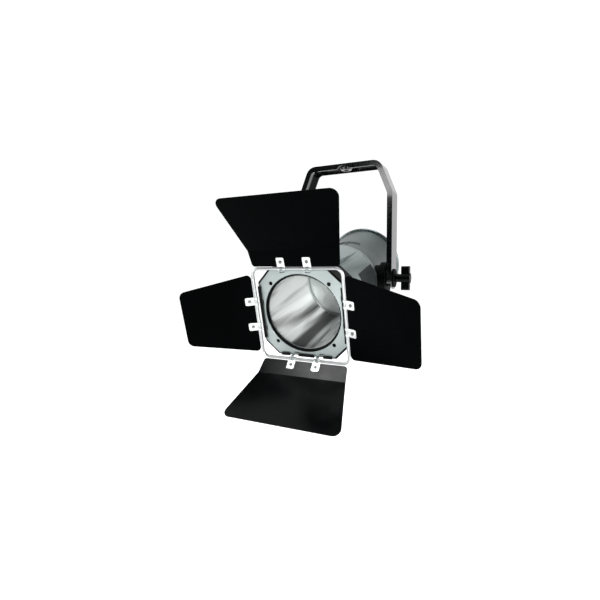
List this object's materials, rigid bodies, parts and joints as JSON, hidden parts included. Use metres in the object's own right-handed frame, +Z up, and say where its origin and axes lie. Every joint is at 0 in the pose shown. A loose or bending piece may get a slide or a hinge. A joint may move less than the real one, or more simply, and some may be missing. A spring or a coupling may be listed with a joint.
{
  "type": "par can light",
  "caption": "Stage spotlight can on a tilting hanging yoke, with a square rod frame carrying folding barndoor leaves.",
  "frame": {"origin": "centre of the hanging hole, on the yoke's upper face", "axes": "+Z up through the hanging hole; the beam leaves towards -Y, tipped 12.7 degrees down; the tilt axis is parallel to X and the knob is at +X"},
  "size_m": [0.4801, 0.5995, 0.5265],
  "materials": {
    "yoke": "gloss black paint",
    "hanging_collar": "plated, satin",
    "outer_washers": "black fibre",
    "front_tube": "satin, bright inside",
    "neck": "satin",
    "rear_bell": "satin",
    "accessory_holder": "satin black",
    "holder_rivets": "satin",
    "base_plate": "satin",
    "rod_frame": "bright plated",
    "side_hubs": "black",
    "pivot_spacers": "dark",
    "friction_washers": "brown fibre",
    "pivot_stud": "plated",
    "pivot_bolt": "plated",
    "neck_screws": "dark plated",
    "rating_plate": "blank, dark grey",
    "lamp_ring": "spring wire",
    "lamp_lens": "frosted",
    "lamp_reflector": "silvered pressed glass",
    "lamp_base": "ceramic",
    "lampholder": "ceramic",
    "lamp_leads": "glass sleeve",
    "terminal_block": "ceramic",
    "earth_screw": "bright",
    "cable_gland": "black",
    "gland_nut": "black",
    "hinge_pin": "plated",
    "rear_cap": "satin",
    "cap_clips": "black",
    "vent_baffle": "matt black",
    "baffle_posts": "satin",
    "tilt_knob": "black",
    "top_door": "satin black paint",
    "top_door_clips": "bright plated",
    "top_door_screws": "plated",
    "right_door": "satin black paint",
    "right_door_clips": "bright plated",
    "right_door_screws": "plated",
    "bottom_door": "satin black paint",
    "bottom_door_clips": "bright plated",
    "bottom_door_screws": "plated",
    "left_door": "satin black paint",
    "left_door_clips": "bright plated",
    "left_door_screws": "plated"
  },
  "bodies": {
    "bracket": {"yoke": "yoke", "hanging_collar": "hanging_collar", "outer_washers": "outer_washers"},
    "head": {"front_tube": "front_tube", "neck": "neck", "rear_bell": "rear_bell", "accessory_holder": "accessory_holder", "holder_rivets": "holder_rivets", "base_plate": "base_plate", "rod_frame": "rod_frame", "side_hubs": "side_hubs", "pivot_spacers": "pivot_spacers", "friction_washers": "friction_washers", "pivot_stud": "pivot_stud", "pivot_bolt": "pivot_bolt", "neck_screws": "neck_screws", "rating_plate": "rating_plate", "lamp_ring": "lamp_ring", "lamp_lens": "lamp_lens", "lamp_reflector": "lamp_reflector", "lamp_base": "lamp_base", "lampholder": "lampholder", "lamp_leads": "lamp_leads", "terminal_block": "terminal_block", "earth_screw": "earth_screw", "cable_gland": "cable_gland", "gland_nut": "gland_nut", "hinge_pin": "hinge_pin"},
    "knob": {"tilt_knob": "tilt_knob"},
    "cap": {"rear_cap": "rear_cap", "cap_clips": "cap_clips", "vent_baffle": "vent_baffle", "baffle_posts": "baffle_posts"},
    "top_leaf": {"top_door": "top_door", "top_door_clips": "top_door_clips", "top_door_screws": "top_door_screws"},
    "right_leaf": {"right_door": "right_door", "right_door_clips": "right_door_clips", "right_door_screws": "right_door_screws"},
    "bottom_leaf": {"bottom_door": "bottom_door", "bottom_door_clips": "bottom_door_clips", "bottom_door_screws": "bottom_door_screws"},
    "left_leaf": {"left_door": "left_door", "left_door_clips": "left_door_clips", "left_door_screws": "left_door_screws"}
  },
  "joints": [
    {"name": "tilt", "type": "hinge", "parent": "bracket", "child": "head", "pos_m": [0, 0, -0.28], "axis": [1, 0, 0], "range_deg": [-65, 60]},
    {"name": "knob_turn", "type": "hinge", "parent": "head", "child": "knob", "pos_m": [0.14, 0, -0.28], "axis": [1, 0, 0], "range_deg": [-180, 180]},
    {"name": "cap_hinge", "type": "hinge", "parent": "head", "child": "cap", "pos_m": [0, 0.1801, -0.3491], "axis": [-1, 0, 0], "range_deg": [0, 95]},
    {"name": "top_hinge", "type": "hinge", "parent": "head", "child": "top_leaf", "pos_m": [0, -0.30038, -0.25031], "axis": [1, 0, 0], "range_deg": [-45, 73]},
    {"name": "right_hinge", "type": "hinge", "parent": "head", "child": "right_leaf", "pos_m": [0.095, -0.27949, -0.34299], "axis": [0, 0.2198, -0.9755], "range_deg": [-30, 100]},
    {"name": "bottom_hinge", "type": "hinge", "parent": "head", "child": "bottom_leaf", "pos_m": [0, -0.25861, -0.43566], "axis": [-1, 0, 0], "range_deg": [-80, 29]},
    {"name": "left_hinge", "type": "hinge", "parent": "head", "child": "left_leaf", "pos_m": [-0.095, -0.27949, -0.34299], "axis": [0, -0.2198, 0.9755], "range_deg": [-30, 100]}
  ]
}
